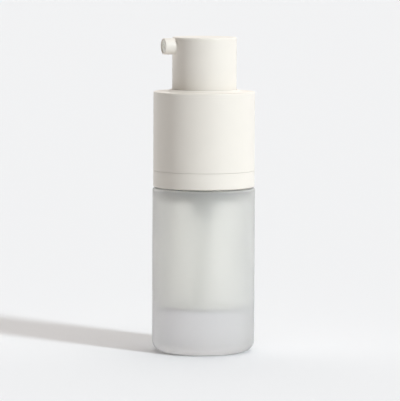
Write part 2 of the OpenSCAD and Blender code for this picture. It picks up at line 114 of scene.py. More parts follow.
class BottleSizes(PropertyGroup):
    """Sizes of the pieces, as the CAD source has them, and how finely they are turned."""

    glass_wall: length("Glass wall", "Thickness of the glass wall", 2.4 * MM)
    glass_base: length("Glass base", "Thickness of the heavy glass base", 15.4 * MM)
    punt_depth: length("Punt", "Depth of the hollow under the foot", 0.6 * MM)
    shoulder_height: length("Shoulder", "Height of the glass shoulder", 57.6 * MM)
    shoulder_glass: length("Shoulder glass", "Thickness of the glass at the shoulder", 1.8 * MM)
    foot_edge: length("Foot edge", "Radius of the rounded edge at the foot", 3.8 * MM)
    neck_radius: length("Neck", "Outside radius of the neck", 8.7 * MM)
    bore_radius: length("Neck bore", "Inside radius of the neck", 6.7 * MM)
    thread_pitch: length("Thread pitch", "Rise of the neck's thread in one turn", 3.2 * MM)
    thread_start: length("Thread start", "Height at which the neck's thread starts", 62.2 * MM)
    thread_turns: FloatProperty(name="Thread turns", description="Turns of the neck's thread", default=1.5)
    collar_wall: length("Collar wall", "Thickness of the collar's wall", 1.5 * MM)
    seam: length("Seam", "Gap between the base ring and the sleeve", 0.06 * MM)
    lip_height: length("Lip", "Height of the raised lip round the head", 0.8 * MM)
    running_gap: length("Running gap", "Gap between pieces that slide or turn on each other", 0.15 * MM)
    head_radius: length("Head", "Outside radius of the press head", HEAD_HIGH.y)
    head_wall: length("Head wall", "Thickness of the press head's wall", 1.3 * MM)
    head_roof: length("Head roof", "Thickness of the press head's top", 1.5 * MM)
    spout_radius: length("Spout", "Outside radius of the spout", 2.85 * MM)
    spout_fillet: length("Spout fillet", "Radius of the blend between the spout and the head", 0.7 * MM)
    outlet_radius: length("Outlet", "Radius of the hole in the spout's insert", 0.5 * MM)
    wire_radius: length("Spring wire", "Radius of the spring's wire", 0.25 * MM)
    spring_turns: IntProperty(name="Spring turns", description="Number of turns in the spring", default=7)
    steps_round: IntProperty(name="Steps round", description="Faces round a turned piece", default=192)


class BottleColours(PropertyGroup):
    """Colours of the finishes, and how clear the glass is."""

    glass: colour("Glass", "Tint of the frosted glass", "FFFFFB")
    glass_depth: colour("Glass depth", "Colour that the glass takes on where it is thick", "E0DEE5")
    glass_density: strength("Glass density", "How fast the glass darkens, per metre", 34.0)
    etched_clarity: strength("Etched clarity", "Share of light that passes the etched face", 0.76)
    blown_polish: strength("Blown polish", "Roughness of the blown face, as a share of the etched", 0.07)
    plastic: colour("Collar and head", "Warm white plastic", "E9E2D8")
    insert: colour("Spout insert", "Off-white soft plastic", "F8F6EC")
    natural: colour("Pump", "Unpigmented plastic of the pump", "FFFFFC")
    seal: colour("Seals", "Soft seals", "DCDCD8")
    steel: colour("Steel", "Balls and spring", "B8B8B8")


class BottleStage(PropertyGroup):
    """Camera, floor and lights."""

    azimuth: angle("Azimuth", "Camera's angle round the bottle", -20)
    distance: length("Distance", "Camera's distance from the bottle's axis", 1.039)
    height: length("Height", "Camera's height above the floor", 0.1494)
    pitch: angle("Pitch", "How far the camera looks down", 5.3)
    roll: angle("Roll", "How far the camera tips to its left", 0.26)
    aside: length("Aside", "How far left of the axis the camera aims", 1.31 * MM)
    lens: FloatProperty(name="Lens", description="Focal length in millimetres", default=266.5)
    floor: colour("Floor", "Pale floor", "EEEEEF")
    front_fill: strength("Front fill", "Even light from the camera's side", 0.02)
    back_fill: strength("Back fill", "Even light from behind the bottle", 1.19)
    wall_glow: strength("Wall glow", "Light of the far walls at floor level", 0.88)
    overhead: strength("Overhead", "The wide light above, a little to the camera's side and right", 1.14)
    key: strength("Key", "The light to the camera's right", 2.5)
    overhead_spread: angle("Overhead spread", "How wide the light above looks", 50)
    key_spread: angle("Key spread", "How wide the key looks", 9)
    key_side: angle("Key side", "How far the key stands to the camera's right", 50)
    key_rise: angle("Key rise", "How high the key stands", 28)
    warm: colour("Warm light", "Colour of the light from above and behind", "FFFBF8")
    cool: colour("Cool light", "Colour of the key", "EFF9FF")


# --- node helper and geometry trees ---


def set_inputs(tree, target, values):
    """Fills inputs of a node. Each value is a plain one, or an output socket to link."""
    for name, value in values.items():
        if isinstance(value, bpy.types.NodeSocket):
            tree.links.new(value, target.inputs[name])
        else:
            target.inputs[name].default_value = value


def node(tree, kind, inputs=None, **settings):
    """Adds a node with its settings and inputs."""
    new = tree.nodes.new(kind)
    for name, value in settings.items():
        setattr(new, name, value)
    set_inputs(tree, new, inputs or {})
    return new


def new_tree(name, sockets):
    """An empty geometry tree with a shape, the named numbers and a finish as inputs."""
    tree = bpy.data.node_groups.new(name, "GeometryNodeTree")
    tree.interface.new_socket("Geometry", in_out="OUTPUT", socket_type="NodeSocketGeometry")
    tree.interface.new_socket("Shape", in_out="INPUT", socket_type="NodeSocketGeometry")
    for label, kind in [*sockets, ("Finish", "NodeSocketMaterial")]:
        tree.interface.new_socket(label, in_out="INPUT", socket_type=kind)
    return tree, node(tree, "NodeGroupInput").outputs


def close_tree(tree, mesh, given):
    """Realizes the instances, sets the finish and ends the tree."""
    real = node(tree, "GeometryNodeRealizeInstances", {"Geometry": mesh})
    done = node(tree, "GeometryNodeSetMaterial", {"Geometry": real.outputs[0], "Material": given["Finish"]})
    node(tree, "NodeGroupOutput", {"Geometry": done.outputs[0]})
    return tree


def maths(tree, operation, a, b=0.0):
    """The result of a sum on two numbers or sockets."""
    return node(tree, "ShaderNodeMath", {0: a, 1: b}, operation=operation).outputs[0]


def section_curve(tree, outline, inwards=0.0):
    """An outline in the XZ plane as a curve to sweep: X becomes the way out and Z the way up."""
    point = node(tree, "GeometryNodeInputPosition").outputs[0]
    place = node(tree, "ShaderNodeSeparateXYZ", {"Vector": point})
    flat = node(tree, "ShaderNodeCombineXYZ", {
        "X": maths(tree, "SUBTRACT", place.outputs["X"], inwards),
        "Y": maths(tree, "MULTIPLY", place.outputs["Z"], -1.0),
    })
    laid = node(tree, "GeometryNodeSetPosition", {"Geometry": outline, "Position": flat.outputs[0]})
    return node(tree, "GeometryNodeMeshToCurve", {"Mesh": laid.outputs[0]}).outputs[0]


def turning_tree(name):
    """Turns an outline in the XZ plane round the Z axis, as a lathe does."""
    tree, given = new_tree(name, [("Steps Round", "NodeSocketInt"), ("Guide Radius", "NodeSocketFloat")])
    ring = node(tree, "GeometryNodeCurvePrimitiveCircle",
                {"Resolution": given["Steps Round"], "Radius": given["Guide Radius"]})
    skin = node(tree, "GeometryNodeCurveToMesh", {
        "Curve": ring.outputs[0],
        "Profile Curve": section_curve(tree, given["Shape"], given["Guide Radius"]),
    })
    return close_tree(tree, skin.outputs[0], given)


def notching_tree(name):
    """Cuts a row of like notches round the Z axis, each a slice of a ring."""
    tree, given = new_tree(name, [
        ("Count", "NodeSocketInt"), ("First Angle", "NodeSocketFloat"),
        ("Notch Angle", "NodeSocketFloat"), ("Notch Radius", "NodeSocketFloat"),
        ("Notch Depth", "NodeSocketFloat"), ("Notch Middle", "NodeSocketFloat"),
        ("Notch Height", "NodeSocketFloat"), ("Steps", "NodeSocketInt"),
    ])
    start = maths(tree, "SUBTRACT", given["First Angle"], maths(tree, "DIVIDE", given["Notch Angle"], 2.0))
    path = node(tree, "GeometryNodeCurveArc", {
        "Resolution": given["Steps"], "Radius": given["Notch Radius"], "Start Angle": start,
        "Sweep Angle": given["Notch Angle"],
    })
    section = node(tree, "GeometryNodeCurvePrimitiveQuadrilateral",
                   {"Width": given["Notch Depth"], "Height": given["Notch Height"]})
    cutter = node(tree, "GeometryNodeCurveToMesh",
                  {"Curve": path.outputs[0], "Profile Curve": section.outputs[0], "Fill Caps": True})
    up = node(tree, "ShaderNodeCombineXYZ", {"Z": given["Notch Middle"]})
    raised = node(tree, "GeometryNodeTransform",
                  {"Geometry": cutter.outputs[0], "Translation": up.outputs[0]})
    points = node(tree, "GeometryNodeMeshLine", {"Count": given["Count"], "Offset": (0, 0, 0)})
    index = node(tree, "GeometryNodeInputIndex").outputs[0]
    turn = maths(tree, "MULTIPLY", index, maths(tree, "DIVIDE", math.tau, given["Count"]))
    spin = node(tree, "ShaderNodeCombineXYZ", {"Z": turn})
    row = node(tree, "GeometryNodeInstanceOnPoints",
               {"Points": points.outputs[0], "Instance": raised.outputs[0], "Rotation": spin.outputs[0]})
    cutters = node(tree, "GeometryNodeRealizeInstances", {"Geometry": row.outputs[0]})
    cut = node(tree, "GeometryNodeMeshBoolean", {0: given["Shape"], 1: cutters.outputs[0]},
               operation="DIFFERENCE")
    return close_tree(tree, cut.outputs[0], given)


def coil_tree(name):
    """Sweeps an outline up a helix. The first and last turns can lie flat, and the ends can fade away."""
    tree, given = new_tree(name, [
        ("Turns", "NodeSocketFloat"), ("Steps Round", "NodeSocketInt"), ("Coil Radius", "NodeSocketFloat"),
        ("Start Height", "NodeSocketFloat"), ("Rise", "NodeSocketFloat"), ("Flat Turns", "NodeSocketFloat"),
        ("Flat Rise", "NodeSocketFloat"), ("Fade Turns", "NodeSocketFloat"),
    ])

    def share(value, low, high, top):
        """value from low..high mapped to 0..top, and held there past both ends."""
        return node(tree, "ShaderNodeMapRange",
                    {"Value": value, "From Min": low, "From Max": high, "To Max": top}).outputs[0]

    steps = maths(tree, "MULTIPLY", given["Turns"], given["Steps Round"])
    line = node(tree, "GeometryNodeMeshLine", {"Count": maths(tree, "ADD", steps, 1.0)})
    turn = maths(tree, "DIVIDE", node(tree, "GeometryNodeInputIndex").outputs[0], given["Steps Round"])
    around = maths(tree, "MULTIPLY", turn, math.tau)
    last = maths(tree, "SUBTRACT", given["Turns"], given["Flat Turns"])
    flat_both = maths(tree, "MULTIPLY", given["Flat Rise"], 2.0)
    first_part = share(turn, 0.0, given["Flat Turns"], given["Flat Rise"])
    main_part = share(turn, given["Flat Turns"], last, maths(tree, "SUBTRACT", given["Rise"], flat_both))
    last_part = share(turn, last, given["Turns"], given["Flat Rise"])
    upper = maths(tree, "ADD", last_part, given["Start Height"])
    place = node(tree, "ShaderNodeCombineXYZ", {
        "X": maths(tree, "MULTIPLY", maths(tree, "COSINE", around), given["Coil Radius"]),
        "Y": maths(tree, "MULTIPLY", maths(tree, "SINE", around), given["Coil Radius"]),
        "Z": maths(tree, "ADD", maths(tree, "ADD", first_part, main_part), upper),
    })
    helix = node(tree, "GeometryNodeSetPosition",
                 {"Geometry": line.outputs[0], "Position": place.outputs[0]})
    path = node(tree, "GeometryNodeMeshToCurve", {"Mesh": helix.outputs[0]})
    upright = node(tree, "GeometryNodeSetCurveNormal", {"Curve": path.outputs[0]}, mode="Z_UP")
    from_end = maths(tree, "MINIMUM", turn, maths(tree, "SUBTRACT", given["Turns"], turn))
    # the range starts just before the end, so that no fade at all leaves the ends whole
    fade = node(tree, "ShaderNodeMapRange",
                {"Value": from_end, "From Min": -0.001, "From Max": given["Fade Turns"], "To Min": 0.1})
    skin = node(tree, "GeometryNodeCurveToMesh", {
        "Curve": upright.outputs[0], "Profile Curve": section_curve(tree, given["Shape"]),
        "Scale": fade.outputs[0], "Fill Caps": True,
    })
    return close_tree(tree, skin.outputs[0], given)


# --- outlines and mesh pieces ---


def rounded(corners, closed):
    """(x, z) points of an outline through corners (x, z, radius), with an arc at each rounded corner."""
    count = len(corners)
    runs = []
    for i, corner in enumerate(corners):
        here = Vector(corner[:2])
        radius = corner[2] if len(corner) > 2 else 0
        if not radius or (not closed and i in (0, count - 1)):
            runs.append([here])
            continue
        back = (Vector(corners[i - 1][:2]) - here).normalized()
        ahead = (Vector(corners[(i + 1) % count][:2]) - here).normalized()
        half = back.angle(ahead) / 2
        centre = here + (back + ahead).normalized() * radius / math.sin(half)
        start = here + back * radius / math.tan(half) - centre
        turn = start.angle_signed(here + ahead * radius / math.tan(half) - centre)
        steps = max(3, math.ceil(abs(turn) / ARC_STEP))
        arc = []
        for k in range(steps + 1):
            a = -turn * k / steps
            arc.append(centre + Vector((start.x * math.cos(a) - start.y * math.sin(a),
                                        start.x * math.sin(a) + start.y * math.cos(a))))
        runs.append(arc)
    points = []
    for i, run in enumerate(runs):
        points += run
        if i == count - 1 and not closed:
            break
        a, b = run[-1], runs[(i + 1) % count][0]
        if (b - a).length > 4 * SUPPORT:
            step = (b - a).normalized() * SUPPORT
            points += [a + step, b - step]
    return points


def outline_mesh(name, points, closed):
    """A mesh that holds only the outline's points and edges, in the XZ plane."""
    mesh = bpy.data.meshes.new(name)
    edges = [(i, i + 1) for i in range(len(points) - 1)]
    if closed:
        edges.append((len(points) - 1, 0))
    mesh.from_pydata([(p[0], 0, p[1]) for p in points], edges, [])
    return mesh


def add_object(name, mesh):
    """Puts a mesh in the scene as an object at the origin."""
    made = bpy.data.objects.new(name, mesh)
    bpy.context.collection.objects.link(made)
    return made


def run_tree(build, mesh, values):
    """Runs the geometry tree that build makes on a mesh, and returns the plain mesh that comes out."""
    tree = bpy.data.node_groups.get(build.__name__) or build(build.__name__)
    carrier = add_object(mesh.name + "_carrier", mesh)
    modifier = carrier.modifiers.new("shape", "NODES")
    modifier.node_group = tree
    for item in tree.interface.items_tree:
        if item.in_out == "INPUT" and item.name in values:
            modifier[item.identifier] = values[item.name]
    return plain_mesh(carrier)


def plain_mesh(carrier):
    """The mesh of an object with its modifiers applied. The object itself is removed."""
    bpy.context.view_layer.update()
    graph = bpy.context.evaluated_depsgraph_get()
    result = bpy.data.meshes.new_from_object(carrier.evaluated_get(graph))
    result.name = carrier.data.name
    bpy.data.objects.remove(carrier)
    return result


def finish_mesh(mesh):
    """Welds seams and poles, points the faces outwards, and keeps only real creases sharp."""
    work = bmesh.new()
    work.from_mesh(mesh)
    bmesh.ops.remove_doubles(work, verts=work.verts, dist=WELD)
    bmesh.ops.dissolve_degenerate(work, edges=work.edges, dist=WELD / 10)
    bmesh.ops.recalc_face_normals(work, faces=work.faces)
    for face in work.faces:
        face.smooth = True
    for edge in work.edges:
        if len(edge.link_faces) == 2 and edge.calc_face_angle() > SHARP:
            edge.smooth = False
    work.to_mesh(mesh)
    work.free()
    return mesh


def turned(name, corners, finish, closed=True):
    """A solid of revolution from its outline's corners."""
    sizes = bpy.context.scene.bottle_sizes
    values = {"Steps Round": sizes.steps_round, "Guide Radius": LATHE_RADIUS, "Finish": finish}
    outline = outline_mesh(name, rounded(corners, closed), closed)
    return finish_mesh(run_tree(turning_tree, outline, values))


def titled(values):
    """Settings with their keys turned into the names of a tree's inputs."""
    return {key.replace("_", " ").title(): value for key, value in values.items()}


def coiled(name, points, finish, **values):
    """A closed outline, about its own centre, swept up a helix."""
    outline = outline_mesh(name, points, True)
    return finish_mesh(run_tree(coil_tree, outline, titled({**values, "finish": finish})))


def notched(mesh, finish, **values):
    """A mesh with a row of notches cut in it."""
    return finish_mesh(run_tree(notching_tree, mesh, titled({"steps": 5, **values, "finish": finish})))


def carved(mesh, *tools):
    """A mesh after (operation, other mesh) steps, where the operation is UNION or DIFFERENCE."""
    carrier = add_object(mesh.name + "_carrier", mesh)
    others = []
    for operation, other in tools:
        others.append(add_object(other.name + "_tool", other))
        step = carrier.modifiers.new(operation.lower(), "BOOLEAN")
        step.operation = operation
        step.solver = "EXACT"
        step.object = others[-1]
    result = plain_mesh(carrier)
    for other in others:
        bpy.data.objects.remove(other)
    return finish_mesh(result)


def piece(name, mesh, body, slot, *nodes):
    """Places a finished mesh as the piece that stands for its CAD nodes."""
    made = add_object(name, mesh)
    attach(made, body)
    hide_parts(*nodes)
    return made


# --- finishes ---


def new_finish(name):
    """An empty material with its shader and output, and the piece's own coordinates."""
    material = bpy.data.materials.new(name)
    material.use_nodes = True
    tree = material.node_tree
    tree.nodes.clear()
    shader = node(tree, "ShaderNodeBsdfPrincipled")
    node(tree, "ShaderNodeOutputMaterial", {"Surface": shader.outputs[0]})
    return material, tree, shader, node(tree, "ShaderNodeTexCoord").outputs["Object"]


def kept(finish):
    """The material that a finish function makes, made only once."""
    return bpy.data.materials.get(finish.__name__) or finish(finish.__name__)


def grain(tree, place, size, low, high, detail=2.0):
    """Noise with features of the given size, mapped to low..high."""
    noise = node(tree, "ShaderNodeTexNoise", {"Vector": place, "Scale": 1 / size, "Detail": detail})
    return node(tree, "ShaderNodeMapRange", {
        "Value": noise.outputs["Fac"], "From Min": 0.3, "From Max": 0.7, "To Min": low, "To Max": high,
    }).outputs[0]


def relief(tree, height, depth):
    """A bump of the given depth, in metres, from a height of 0..1."""
    return node(tree, "ShaderNodeBump", {"Height": height, "Distance": depth, "Strength": 1.0}).outputs[0]


def tinted(tree, colour_a, colour_b, factor):
    """A mix of two colours."""
    mix = node(tree, "ShaderNodeMix", data_type="RGBA")
    set_inputs(tree, mix, {0: factor, 6: (*colour_a, 1), 7: (*colour_b, 1)})
    return mix.outputs[2]


def shade(colour_rgb, factor):
    """A colour made darker or lighter."""
    return [min(1.0, c * factor) for c in colour_rgb]


def acid_etched_glass(name):
    """Soda-lime glass: acid-etched to a silky grain outside, smooth as blown inside, grey in depth."""
    material, tree, shader, place = new_finish(name)
    sizes = bpy.context.scene.bottle_sizes
    looks = bpy.context.scene.bottle_colours
    margin = 0.1 * MM
    low, high = sizes.glass_base - margin, sizes.shoulder_height - sizes.shoulder_glass - margin
    height = node(tree, "ShaderNodeSeparateXYZ", {0: place}).outputs["Z"]
    above, below = maths(tree, "GREATER_THAN", height, low), maths(tree, "LESS_THAN", height, high)
    level = maths(tree, "MULTIPLY", above, below)
    flat = node(tree, "ShaderNodeVectorMath", {0: place, 1: (1, 1, 0)}, operation="MULTIPLY")
    reach = node(tree, "ShaderNodeVectorMath", {0: flat.outputs[0]}, operation="LENGTH")
    within = maths(tree, "LESS_THAN", reach.outputs["Value"], GLASS_TOP.y - sizes.glass_wall / 2)
    hollow = maths(tree, "MULTIPLY", level, within)

    def outside_to_inside(etched, blown):
        """A value that differs between the etched outside and the blown hollow."""
        ends = {"Value": hollow, "To Min": etched, "To Max": blown}
        return node(tree, "ShaderNodeMapRange", ends).outputs[0]

    etching = outside_to_inside(1.0, looks.blown_polish)
    silk = grain(tree, place, 0.25 * MM, 0.0, 1.0)
    set_inputs(tree, shader, {
        "Base Color": (*looks.glass, 1),
        "Roughness": maths(tree, "MULTIPLY", grain(tree, place, 4 * MM, 0.63, 0.69), etching),
        "Transmission Weight": outside_to_inside(looks.etched_clarity, 1.0),
        "IOR": 1.52,
        "Normal": relief(tree, maths(tree, "MULTIPLY", silk, etching), 0.004 * MM),
    })
    depth = node(tree, "ShaderNodeVolumeAbsorption",
                 {"Color": (*looks.glass_depth, 1), "Density": looks.glass_density})
    tree.links.new(depth.outputs[0], tree.nodes["Material Output"].inputs["Volume"])
    return material


def moulded_abs(name):
    """Injection-moulded ABS, warm white: satin gloss over an even, slightly pebbled skin."""
    material, tree, shader, place = new_finish(name)
    base = bpy.context.scene.bottle_colours.plastic
    pebble = grain(tree, place, 0.35 * MM, 0.0, 1.0)
    set_inputs(tree, shader, {
        "Base Color": tinted(tree, base, shade(base, 0.985), grain(tree, place, 7 * MM, 0.0, 1.0)),
        "Roughness": grain(tree, place, 1.5 * MM, 0.34, 0.40),
        "IOR": 1.53,
        "Normal": relief(tree, pebble, 0.0015 * MM),
    })
    return material


def moulded_polyethylene(name):
    """Injection-moulded polyethylene, off-white: soft, matt and waxy."""
    material, tree, shader, place = new_finish(name)
    base = bpy.context.scene.bottle_colours.insert
    set_inputs(tree, shader, {
        "Base Color": tinted(tree, base, shade(base, 0.96), grain(tree, place, 0.8 * MM, 0.0, 1.0)),
        "Roughness": grain(tree, place, 0.8 * MM, 0.45, 0.55),
        "IOR": 1.51,
        "Normal": relief(tree, grain(tree, place, 0.2 * MM, 0.0, 1.0), 0.002 * MM),
    })
    return material


def natural_polypropylene(name):
    """Unpigmented polypropylene, moulded: milky, and it lets light through."""
    material, tree, shader, place = new_finish(name)
    base = bpy.context.scene.bottle_colours.natural
    set_inputs(tree, shader, {
        "Base Color": tinted(tree, base, shade(base, 0.95), grain(tree, place, 3 * MM, 0.0, 1.0)),
        "Roughness": grain(tree, place, 1 * MM, 0.35, 0.45),
        "IOR": 1.49,
        "Transmission Weight": 0.9,
        "Normal": relief(tree, grain(tree, place, 0.3 * MM, 0.0, 1.0), 0.002 * MM),
    })
    return material


def moulded_elastomer(name):
    """Thermoplastic elastomer of the seals, moulded: matt, with a faint grain."""
    material, tree, shader, place = new_finish(name)
    base = bpy.context.scene.bottle_colours.seal
    set_inputs(tree, shader, {
        "Base Color": tinted(tree, base, shade(base, 0.93), grain(tree, place, 1 * MM, 0.0, 1.0)),
        "Roughness": grain(tree, place, 0.6 * MM, 0.6, 0.75),
        "IOR": 1.5,
        "Normal": relief(tree, grain(tree, place, 0.2 * MM, 0.0, 1.0), 0.003 * MM),
    })
    return material


def drawn_stainless_steel(name):
    """Stainless steel: balls ground bright, and wire drawn with fine marks."""
    material, tree, shader, place = new_finish(name)
    base = bpy.context.scene.bottle_colours.steel
    set_inputs(tree, shader, {
        "Base Color": tinted(tree, base, shade(base, 0.9), grain(tree, place, 0.5 * MM, 0.0, 1.0)),
        "Metallic": 1.0,
        "Roughness": grain(tree, place, 0.3 * MM, 0.18, 0.3),
        "Normal": relief(tree, grain(tree, place, 0.1 * MM, 0.0, 1.0), 0.001 * MM),
    })
    return material


# --- pieces ---


class BOTTLE_OT_glass(Operator):
    """Make the frosted glass bottle with its heavy base and threaded neck"""

    bl_idname = "bottle.glass"
    bl_label = "Glass Bottle"

    def execute(self, context):
        s = context.scene.bottle_sizes
        outside = GLASS_TOP.y
        inside = outside - s.glass_wall
        foot = outside - s.foot_edge
        stands_on, punt = foot - 0.8 * MM, foot - 2.4 * MM   # the flat ring that stands, and the hollow in it
        shoulder = s.shoulder_height
        ceiling = shoulder - s.shoulder_glass
        corners = [
            (0, s.punt_depth), (punt, s.punt_depth, 1.2 * MM), (stands_on, 0, 0.8 * MM),
            (outside, 0, s.foot_edge), (outside, shoulder, 0.8 * MM), (s.neck_radius, shoulder, 0.8 * MM),
            (s.neck_radius, GLASS_TOP.z, 0.5 * MM), (s.bore_radius, GLASS_TOP.z, 0.4 * MM),
            (s.bore_radius, ceiling, 1.2 * MM), (inside, ceiling, 3 * MM),
            (inside, s.glass_base, 1.6 * MM), (0, s.glass_base),
        ]
        body = turned("bottle_glass", corners, kept(acid_etched_glass), closed=False)
        root, crest, half_root, half_crest = -0.2 * MM, 0.95 * MM, 0.85 * MM, 0.45 * MM
        rib = [(root, -half_root), (crest, -half_crest), (crest, half_crest), (root, half_root)]
        thread = coiled("neck_thread", rib, kept(acid_etched_glass), turns=s.thread_turns, steps_round=60,
                        coil_radius=s.neck_radius, start_height=s.thread_start,
                        rise=s.thread_turns * s.thread_pitch, flat_turns=0.0, flat_rise=0.0, fade_turns=0.12)
        piece("bottle_glass", carved(body, ("UNION", thread)), "bottle", "frosted_glass", "glass_bottle")
        return {"FINISHED"}


class BOTTLE_OT_collar(Operator):
    """Make the fixed base ring and the sleeve that turns on it"""

    bl_idname = "bottle.collar"
    bl_label = "Collar"

    def execute(self, context):
        s = context.scene.bottle_sizes
        white = kept(moulded_abs)
        outside = RING_HIGH.y
        inside = outside - s.collar_wall
        ring_top = SLEEVE_LOW.z - s.seam
        crisp = 0.05 * MM               # radius of the edges along the seam
        hub = inside - s.running_gap    # the ring's inner tube, which the sleeve turns on
        hub_in = hub - 1.4 * MM
        grip = CAP_HIGH.y - 0.38 * MM   # the tube that holds the cap, between the cap's splines
        grip_out = grip + 1.5 * MM
        web = ring_top - 1.6 * MM       # underside of the wall that joins both tubes
        bead = ring_top + 2 * MM        # middle of the bead that keeps the sleeve on
        ring = [
            (outside, RING_LOW.z, 0.35 * MM), (outside, ring_top, crisp), (hub, ring_top, 0.1 * MM),
            (hub, bead - 0.35 * MM), (hub + 0.3 * MM, bead, 0.2 * MM), (hub, bead + 0.35 * MM),
            (hub, RING_HIGH.z, 0.4 * MM), (hub_in, RING_HIGH.z, 0.2 * MM), (hub_in, ring_top, 0.3 * MM),
            (grip_out, ring_top, 0.3 * MM), (grip_out, RING_HIGH.z, 0.2 * MM), (grip, RING_HIGH.z, 0.2 * MM),
            (grip, RING_LOW.z + 2 * MM, 0.2 * MM), (grip_out, RING_LOW.z + 2 * MM, 0.2 * MM),
            (grip_out, web, 0.3 * MM), (inside, web, 0.4 * MM), (inside, RING_LOW.z, 0.15 * MM),
        ]
        base = turned("collar_base_ring", ring, white)
        splined = notched(base, white, count=12, first_angle=0.0, notch_angle=math.radians(6.4),
                          notch_radius=grip - 0.1 * MM, notch_depth=1.0 * MM,
                          notch_middle=RING_LOW.z + 6.0 * MM, notch_height=9.2 * MM)
        # two tracks for the lugs that stop the sleeve at open and shut
        tracked = notched(splined, white, count=2, first_angle=math.radians(135),
                          notch_angle=math.radians(106), notch_radius=hub - 0.5 * MM, notch_depth=3 * MM,
                          notch_middle=RING_HIGH.z - 0.3 * MM, notch_height=2.6 * MM, steps=40)
        piece("collar_base_ring", tracked, "cap", "white_plastic", "base_ring")
        rim = SLEEVE_HIGH.z - s.lip_height
        opening = s.head_radius + s.running_gap
        lip = opening + 0.5 * MM
        plate = rim - 1.6 * MM          # underside of the sleeve's top
        sleeve = [
            (outside, SLEEVE_LOW.z, crisp), (outside, rim, 0.35 * MM), (lip + 1.0 * MM, rim, 1.2 * MM),
            (lip, SLEEVE_HIGH.z, 0.25 * MM), (opening, SLEEVE_HIGH.z, 0.2 * MM), (opening, plate, 0.2 * MM),
            (inside, plate, 0.8 * MM), (inside, bead + 0.45 * MM), (inside + 0.35 * MM, bead, 0.2 * MM),
            (inside, bead - 0.45 * MM), (inside, SLEEVE_LOW.z, crisp),
        ]
        skirt = turned("collar_sleeve", sleeve, white)
        piece("collar_sleeve", skirt, "sleeve", "white_plastic", "outer_sleeve")
        return {"FINISHED"}


class BOTTLE_OT_head(Operator):
    """Make the press head with its side spout, and the insert in the spout"""

    bl_idname = "bottle.head"
    bl_label = "Press Head"

    def execute(self, context):
        s = context.scene.bottle_sizes
        white = kept(moulded_abs)
        radius = s.head_radius
        inner = radius - s.head_wall
        roof = HEAD_HIGH.z - s.head_roof
        shell = [
            (0, HEAD_HIGH.z), (radius, HEAD_HIGH.z, 0.6 * MM), (radius, HEAD_LOW.z, 0.3 * MM),
            (inner, HEAD_LOW.z, 0.3 * MM), (inner, roof, 0.5 * MM), (0, roof),
        ]
        head = turned("press_head", shell, white, closed=False)
        bore, past_tip = INSERT_HIGH.y + 0.02 * MM, 20 * MM
        rod = [(0, 0), (bore, 0), (bore, past_tip), (0, past_tip)]
        drill = self.lying(turned("spout_bore", rod, white, False))
        spouted = carved(head, ("UNION", self.spout(s, white)), ("DIFFERENCE", drill))
        # two grooves, one each side, for the guide ring's keys
        keyway_top, keyway = GUIDE_LOW.z + 11.2 * MM, 12 * MM
        keyed = notched(spouted, white, count=2, first_angle=math.radians(90),
                        notch_angle=math.radians(11), notch_radius=radius, notch_depth=1.5 * MM,
                        notch_middle=keyway_top - keyway / 2, notch_height=keyway)
        piece("press_head", keyed, "head", "white_plastic", "head_shell")
        end = -INSERT_LOW.x
        insert = [
            (INSERT_HIGH.y, -INSERT_HIGH.x, 0.1 * MM), (INSERT_HIGH.y, end, 0.15 * MM),
            (s.outlet_radius + 0.2 * MM, end, 0.1 * MM), (s.outlet_radius, end - 0.3 * MM, 0.1 * MM),
            (s.outlet_radius, -INSERT_HIGH.x, 0.1 * MM),
        ]
        plug = self.lying(turned("spout_plug", insert, kept(moulded_polyethylene)))
        piece("spout_plug", plug, "head", "spout_plastic", "spout_insert")
        return {"FINISHED"}

    def lying(self, mesh):
        """Lays a piece turned round Z along the spout, which points to -X."""
        middle = (INSERT_LOW.z + INSERT_HIGH.z) / 2
        for vertex in mesh.vertices:
            x, y, z = vertex.co
            vertex.co = (-z, y, middle + x)
        mesh.update()
        return finish_mesh(mesh)

    def spout(self, s, finish):
        """A solid spout whose root flares into the head's round wall. The flare fades out at the top."""
        steps, blend, bevel = 96, 7, 4
        middle = (INSERT_LOW.z + INSERT_HIGH.z) / 2
        tip = -HEAD_LOW.x
        edge = 0.3 * MM
        sunk = 0.04 * MM   # how far the blend's rim lies inside the head's wall
        work = bmesh.new()
        rings = []
        for k in range(steps):
            a = math.tau * k / steps   # from the spout's top
            # the flare is whole from just above the sides down, and nearly nothing at the top
            fillet = s.spout_fillet * (0.06 + 0.94 * min(1.0, (1 - math.cos(a)) / 0.7))
            profile = [(s.spout_radius + fillet, s.head_radius * 0.6)]
            for i in range(blend + 1):
                t = math.pi / 2 * i / blend
                reach = s.spout_radius + fillet * (1 - math.sin(t))
                wall = math.sqrt(s.head_radius**2 - (reach * math.sin(a)) ** 2)
                profile.append((reach, wall - sunk + fillet * (1 - math.cos(t))))
            for i in range(bevel + 1):
                t = math.pi / 2 * i / bevel
                profile.append((s.spout_radius - edge * (1 - math.cos(t)), tip - edge * (1 - math.sin(t))))
            rings.append([work.verts.new((-far, out * math.sin(a), middle + out * math.cos(a)))
                          for out, far in profile])
        for k, ring in enumerate(rings):
            beside = rings[(k + 1) % steps]
            for i in range(len(ring) - 1):
                work.faces.new((ring[i], ring[i + 1], beside[i + 1], beside[i]))
        work.faces.new([ring[0] for ring in rings])
        work.faces.new([ring[-1] for ring in rings])
        mesh = bpy.data.meshes.new("spout")
        work.to_mesh(mesh)
        work.free()
        mesh.materials.append(finish)
        return finish_mesh(mesh)


